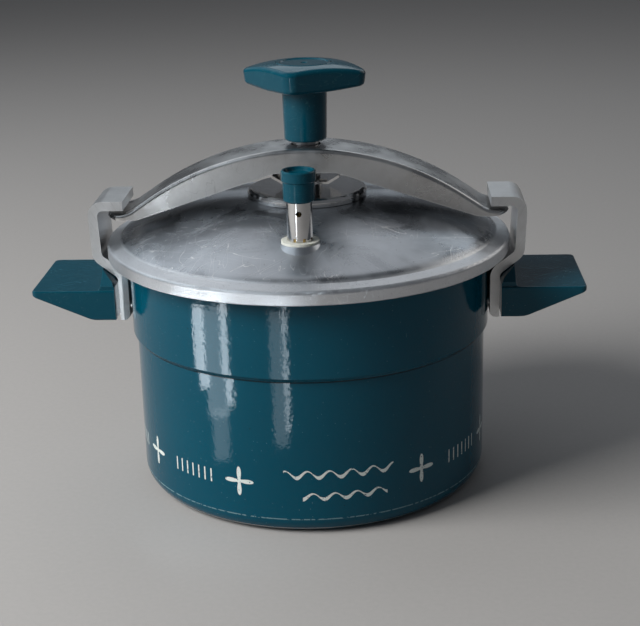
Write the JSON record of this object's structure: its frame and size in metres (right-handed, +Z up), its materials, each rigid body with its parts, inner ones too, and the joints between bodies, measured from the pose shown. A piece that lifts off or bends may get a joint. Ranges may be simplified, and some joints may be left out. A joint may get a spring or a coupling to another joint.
{
  "type": "stovetop pressure cooker",
  "caption": "Stovetop pressure cooker: enamelled pot with side grips, domed lid, screw-clamped yoke under two hooks and a lift-off pressure valve.",
  "frame": {"origin": "centre of the flat base, on the surface it stands on", "axes": "+Z up the pot's axis, +X along the two side handles, -Y towards the pressure valve"},
  "size_m": [0.34, 0.25, 0.2614],
  "materials": {
    "enamel": "glossy deep teal enamel with a fine orange peel",
    "aluminium_pressed": "satin pressed aluminium, lightly scratched",
    "aluminium_bar": "sawn and brushed aluminium bar",
    "chrome": "polished chromed steel",
    "steel": "turned steel",
    "brass": "turned brass",
    "phenolic": "glossy moulded phenolic in dark teal",
    "silicone": "grey sealing rubber",
    "washer_plastic": "milky heat-resistant washer"
  },
  "bodies": {
    "pot": {"pot_body": "enamel", "bracket_right": "aluminium_bar", "bracket_left": "aluminium_bar", "bracket_rivets": "aluminium_bar", "handle_right": "phenolic", "handle_left": "phenolic", "handle_screws": "steel", "handle_washers": "steel"},
    "lid": {"lid_shell": "aluminium_pressed", "lid_gasket": "silicone", "centre_cup": "chrome", "centre_stud": "steel", "stud_pin": "steel", "plate_circlip": "steel", "vent_washer": "washer_plastic", "vent_nozzle": "brass", "vent_nut": "brass", "safety_seal": "silicone", "safety_housing": "brass", "safety_nut": "brass", "safety_spring": "steel"},
    "swivel_plate": {"retaining_plate": "chrome"},
    "yoke_bar": {"yoke": "aluminium_pressed", "thread_bush": "steel"},
    "screw": {"clamp_screw": "steel", "knob": "phenolic", "knob_bolt": "steel", "knob_cap": "phenolic"},
    "pressure_valve": {"valve_sleeve": "chrome", "valve_cap": "phenolic", "valve_spring": "steel"},
    "valve_stem": {"valve_needle": "brass"},
    "safety_disc": {"safety_plunger": "steel"}
  },
  "joints": [
    {"name": "lid_turn", "type": "hinge", "parent": "pot", "child": "lid", "pos_m": [0, 0, 0], "axis": [0, 0, 1], "continuous": true},
    {"name": "yoke_swing", "type": "hinge", "parent": "lid", "child": "swivel_plate", "pos_m": [0, 0, 0.19], "axis": [0, 0, 1], "range_deg": [-60, 60]},
    {"name": "yoke_rise", "type": "slide", "parent": "swivel_plate", "child": "yoke_bar", "axis": [0, 0, 1], "range_m": [-0.004, 0.0021]},
    {"name": "knob_turn", "type": "hinge", "parent": "lid", "child": "screw", "pos_m": [0, 0, 0.23], "axis": [0, 0, 1], "range_deg": [-252, 480]},
    {"name": "valve_lift", "type": "slide", "parent": "lid", "child": "pressure_valve", "axis": [0, 0, 1], "range_m": [0, 0.026]},
    {"name": "valve_needle_lift", "type": "slide", "parent": "pressure_valve", "child": "valve_stem", "axis": [0, 0, 1], "range_m": [0, 0.0015], "stiffness_N_per_m": 1500, "deforming": ["valve_spring"]},
    {"name": "safety_lift", "type": "slide", "parent": "lid", "child": "safety_disc", "axis": [0, 0, 1], "range_m": [0, 0.002], "stiffness_N_per_m": 2500, "deforming": ["safety_spring"]}
  ],
  "couplings": [
    {"joint": "yoke_rise", "follows": "knob_turn", "m_per_rad": -0.00047746}
  ]
}
